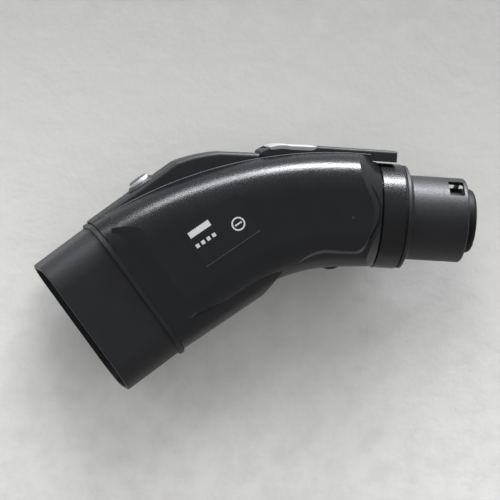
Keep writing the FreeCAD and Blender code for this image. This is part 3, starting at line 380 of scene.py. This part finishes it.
def label_ring(bm, x, y, inner, outer, count=40):
    """Thin printed ring."""
    rows = []
    for radius, z in ((inner, 0.0), (inner, INK_THICK), (outer, INK_THICK), (outer, 0.0)):
        angles = [2 * math.pi * i / count for i in range(count)]
        rows.append([bm.verts.new(on_label(x + radius * math.cos(a), y + radius * math.sin(a), z))
                     for a in angles])
    join_rows(bm, rows + rows[:1])


def label_print(bm):
    """A wide bar over four squares, and a ring round a short bar."""
    left, square, step = -23.0, 3.0, 5.0
    label_bar(bm, left, -4.0, 8.0, 13.0)
    for i in range(4):
        label_bar(bm, left + i * step, left + square + i * step, -1.0, 2.0)
    ring_x, ring_y = 14.0, -3.0
    label_ring(bm, ring_x, ring_y, 4.2, 5.4)
    label_bar(bm, ring_x - 3.0, ring_x + 3.0, ring_y - 0.6, ring_y + 0.6)


def label_line(bm):
    """Fine line along the label's lower edge."""
    label_bar(bm, -25.0, 25.0, -17.0, -16.6)


# Gate mark on the panel, with a painted highlight on its rim

panel_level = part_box("label_side_shell")[1].z / MM
GATE_PLACE = Vector((-55.0, -1.5, panel_level))
GATE_STEPS = 12
GATE_HALF_WIDTH = 0.16
GATE_TIP = 0.01
GATE_RISE = 0.05
# Shift along x, radius and spread in degrees of each crescent
GATE_ARCS = ((1.0, 3.2, 46.0), (1.6, 3.6, 30.0))


def gate_mark(bm):
    """Two pale crescents at the gate mark left by moulding, thin at their ends, their pale tone a
    painted highlight on the mark's rim.
    """
    for shift, radius, spread in GATE_ARCS:
        rows = []
        for i in range(GATE_STEPS + 1):
            share = i / GATE_STEPS - 0.5
            angle = math.radians(spread * share)
            half = GATE_HALF_WIDTH * math.cos(math.pi * share) + GATE_TIP
            section = ((-half, 0.0), (0.0, GATE_RISE), (half, 0.0), (0.0, -GATE_RISE))
            row = [Vector((shift + (radius + d) * math.cos(angle), (radius + d) * math.sin(angle), h))
                   for d, h in section]
            rows.append([bm.verts.new((GATE_PLACE + point) * MM) for point in row])
        join_rows(bm, rows)
        close_ends(bm, rows)


# Bead along the shells' top edges: a pale thread that paints the highlight of their rounded edges

TOP_ARC_RADIUS = 341.0
TOP_ARC_X = -45.0
TOP_ARC_Y = -293.3
BEAD_RADIUS = 0.32
BEAD_SINK = 0.12
BEAD_SIDE = 15.55
BEAD_START = -240.0
BEAD_LENGTH = 206.0
BEAD_STEPS = 120


def top_edge(x):
    """Height of the shells' top arc at a place along the body."""
    return TOP_ARC_Y + math.sqrt(TOP_ARC_RADIUS ** 2 - (x - TOP_ARC_X) ** 2)


def tube_along(bm, path, radius, sides=8):
    """Closed round thread through a row of points that all have the same z."""
    upright = Vector((0.0, 0.0, 1.0))
    rows = []
    for i, point in enumerate(path):
        ahead = path[min(i + 1, len(path) - 1)]
        behind = path[max(i - 1, 0)]
        across = (ahead - behind).normalized().cross(upright).normalized()
        angles = [2 * math.pi * j / sides for j in range(sides)]
        rows.append([bm.verts.new(point + (across * math.cos(a) + upright * math.sin(a)) * radius)
                     for a in angles])
    join_rows(bm, rows)
    close_ends(bm, rows)


def painted_highlight_bead(bm):
    """Fine raised bead along both top edges, beside the spine, pale as a painted highlight of the edge.
    """
    places = [BEAD_START + BEAD_LENGTH * i / BEAD_STEPS for i in range(BEAD_STEPS + 1)]
    for side in (-BEAD_SIDE, BEAD_SIDE):
        path = [Vector((x, top_edge(x) - BEAD_SINK, side)) * MM for x in places]
        tube_along(bm, path, BEAD_RADIUS * MM)


# Thumb pad cap

LEVER_ARC_RADIUS = 31.46
LEVER_ARC_X = -101.93
LEVER_ARC_Y = 19.43
LEVER_ARC_END = -97.0
LEVER_TOP = 50.5
LEVER_RISE = 0.6
LEVER_RISE_RUN = 25.0
PAD_START = -114.5
PAD_END = -77.0
PAD_HALF = 14.8
PAD_SKIN = 0.5
PAD_RISE = 0.42
PAD_DROP = 3.3
PAD_RIM = 0.05
PAD_RIM_STEP = 0.02
PAD_EDGE = 1.5
PAD_INNER_EDGE = 1.1
PAD_LEAST_EDGE = 0.01
PAD_STEPS = 60
EDGE_STEPS = 6


def pad_top(x):
    """Height of the lever's upper edge under the thumb: an arc, then a gentle rise."""
    if x < LEVER_ARC_END:
        return LEVER_ARC_Y + math.sqrt(LEVER_ARC_RADIUS ** 2 - (x - LEVER_ARC_X) ** 2)
    return LEVER_TOP + LEVER_RISE * min(1.0, (x - LEVER_ARC_END) / LEVER_RISE_RUN)


def cap_outline(low, high, half, edge):
    """Cross-section as (height, side) points from one long edge over the top to the other."""
    points = [(low, half)]
    for j in range(EDGE_STEPS + 1):
        a = math.radians(90.0 * j / EDGE_STEPS)
        points.append((high - edge * (1.0 - math.sin(a)), half - edge * (1.0 - math.cos(a))))
    return points + [(y, -z) for y, z in points[::-1]]


def pad_cap(bm):
    """Thin pale satin cap over the lever's upper edge, with rounded ends and rounded long edges."""
    rows = []
    for i in range(PAD_STEPS + 1):
        share = 0.5 - 0.5 * math.cos(math.pi * i / PAD_STEPS)
        x = PAD_START + (PAD_END - PAD_START) * share
        ends = (1.0 - abs(2.0 * share - 1.0) ** 10) ** 0.5
        low = pad_top(x) - PAD_DROP * ends - PAD_RIM
        high = pad_top(x) + PAD_RISE * ends
        outer = cap_outline(low, high, PAD_HALF, PAD_EDGE * ends + PAD_LEAST_EDGE)
        inner = cap_outline(low - PAD_RIM_STEP, high - PAD_SKIN, PAD_HALF - PAD_SKIN,
                            PAD_INNER_EDGE * ends + PAD_LEAST_EDGE)
        rows.append([bm.verts.new(Vector((x, y, z)) * MM) for y, z in outer + inner[::-1]])
    join_rows(bm, rows)
    for row in (rows[0], rows[-1]):
        for j in range(len(row) // 2 - 1):
            bm.faces.new((row[j], row[j + 1], row[-2 - j], row[-1 - j]))


ink = moulded(
    "label_ink", (0.42, 0.42, 0.42), (0.55, 0.55, 0.55), rough=(0.45, 0.55),
    grain=900.0, grain_depth=0.00001)
# Pale ink for the label's edge line, also used as the painted highlight of the gate mark's crescents.
line_ink_and_gate_highlight = moulded(
    "label_edge", (0.05, 0.05, 0.055), (0.07, 0.07, 0.075), rough=(0.4, 0.5),
    grain=900.0, grain_depth=0.00001)
# Painted highlight: the pale finish of the bead along the top edges stands in for light caught on their
# rounding.
painted_edge_highlight = moulded(
    "painted_edge_highlight", (0.07, 0.073, 0.078), (0.10, 0.103, 0.108), rough=(0.3, 0.4),
    grain=900.0, grain_depth=0.00003)
mesh_piece("label_print", label_print, ink, "housing")
mesh_piece("label_edge", label_line, line_ink_and_gate_highlight, "housing")
mesh_piece("gate_mark", gate_mark, line_ink_and_gate_highlight, "housing")
mesh_piece("painted_highlight_bead", painted_highlight_bead, painted_edge_highlight, "housing")
cap = mesh_piece("thumb_pad_cap", pad_cap, slot_materials["pad_plastic"], "latch_lever")
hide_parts("thumb_pad")


# Floor

FLOOR_HALF = 6.0
FLOOR_GAP = 0.0002
FLOOR_PALE_Y = -0.22
FLOOR_DARK_Y = 0.16


def floor_finish():
    """Pale floor with a faint mottled grain, and painted shade that darkens it towards the back."""
    n = Nodes("floor_concrete")
    cloud = n.ramp(n.noise(2.2, detail=5.0, rough=0.6), 0.3, 0.7)
    spots = n.noise(60.0, detail=4.0, rough=0.65)
    split = n.add("ShaderNodeSeparateXYZ")
    n.link(n.place, split.inputs[0])
    front = n.mix(cloud, (0.74, 0.735, 0.705), (0.82, 0.815, 0.785))
    # Painted shade: from FLOOR_PALE_Y to FLOOR_DARK_Y the floor's colour darkens as falling-off light
    # would.
    painted_shade_to_back = n.ramp(split.outputs["Y"], FLOOR_PALE_Y, FLOOR_DARK_Y)
    base = n.mix(painted_shade_to_back, front, (0.34, 0.335, 0.325))
    speckle = n.ramp(spots, 0.42, 0.72, out_high=0.25)
    n.surface("Base Color", n.mix(speckle, base, (0.45, 0.445, 0.43)))
    n.surface("Roughness", n.ramp(spots, 0.3, 0.7, 0.7, 0.9))
    n.surface("Normal", n.bump(spots, 0.001, 0.25))
    return n.material


def make_floor():
    """One flat sheet just under the lying adapter."""
    level = cad_box[0][2] - FLOOR_GAP
    corners = [(x * FLOOR_HALF, y * FLOOR_HALF, level) for x, y in ((-1, -1), (1, -1), (1, 1), (-1, 1))]
    mesh = bpy.data.meshes.new("floor")
    mesh.from_pydata(corners, [], [(0, 1, 2, 3)])
    floor = bpy.data.objects.new("floor", mesh)
    bpy.context.scene.collection.objects.link(floor)
    mesh.materials.append(floor_finish())


# Light

AIM = Vector((-0.12, -0.02, 0.0))
STRIP_DISTANCE = 1.8
STRIP_COLOUR = (0.93, 0.96, 1.0)
# Name, azimuth and elevation in degrees, width and height in metres, power in watts
STRIPS = (
    ("strip_front", 72.0, 4.0, 1.3, 0.36, 104.0),
    ("strip_middle", 103.0, 8.0, 0.8, 0.40, 24.0),
    ("strip_corner", 126.0, 10.0, 0.7, 0.40, 3.0),
    ("strip_left", 165.0, 10.0, 0.9, 0.50, 12.0),
)
WINDOW_PLACE = Vector((-0.42, 1.69, 1.37))
WINDOW_WIDTH = 1.2
WINDOW_HEIGHT = 0.8
WINDOW_POWER = 22.0
WINDOW_COLOUR = (1.0, 0.98, 0.95)
WORLD_COLOUR = (0.985, 0.99, 1.0)
WORLD_FRONT = 0.54
WORLD_BACK = 0.62
WORLD_REACH = 0.9


def area_light(name, place, width, height, power, colour):
    """Soft rectangular lamp turned towards the adapter."""
    data = bpy.data.lights.new(name, "AREA")
    data.shape = "RECTANGLE"
    data.size = width
    data.size_y = height
    data.energy = power
    data.color = colour
    lamp = bpy.data.objects.new(name, data)
    bpy.context.scene.collection.objects.link(lamp)
    turn = (place - AIM).to_track_quat("Z", "Y").to_matrix().to_4x4()
    lamp.matrix_world = Matrix.Translation(place) @ turn
    return lamp


def strip_light(name, azimuth, elevation, width, height, power):
    """Long low softbox that draws the bright band along the rounded edges."""
    a = math.radians(azimuth)
    e = math.radians(elevation)
    towards = Vector((math.cos(a) * math.cos(e), math.sin(a) * math.cos(e), math.sin(e)))
    area_light(name, AIM + STRIP_DISTANCE * towards, width, height, power, STRIP_COLOUR)


def make_world():
    """Soft pale light, a little stronger from the back, the same for the view and for reflections."""
    world = bpy.data.worlds.new("world")
    world.use_nodes = True
    tree = world.node_tree
    tree.nodes.clear()
    out = tree.nodes.new("ShaderNodeOutputWorld")
    light = tree.nodes.new("ShaderNodeBackground")
    coords = tree.nodes.new("ShaderNodeTexCoord")
    split = tree.nodes.new("ShaderNodeSeparateXYZ")
    fall = tree.nodes.new("ShaderNodeMapRange")
    light.inputs["Color"].default_value = (*WORLD_COLOUR, 1.0)
    fall.inputs["From Min"].default_value = -WORLD_REACH
    fall.inputs["From Max"].default_value = WORLD_REACH
    fall.inputs["To Min"].default_value = WORLD_FRONT
    fall.inputs["To Max"].default_value = WORLD_BACK
    tree.links.new(coords.outputs["Generated"], split.inputs[0])
    tree.links.new(split.outputs["Y"], fall.inputs["Value"])
    tree.links.new(fall.outputs[0], light.inputs["Strength"])
    tree.links.new(light.outputs[0], out.inputs[0])
    bpy.context.scene.world = world


make_floor()
make_world()
for strip in STRIPS:
    strip_light(*strip)
# The window throws the soft shadow towards the front; it is left out of reflections, where it would
# draw a second band beside the strips' one.
window = area_light("window", WINDOW_PLACE, WINDOW_WIDTH, WINDOW_HEIGHT, WINDOW_POWER, WINDOW_COLOUR)
window.visible_glossy = False

bpy.context.scene.view_settings.view_transform = "Standard"
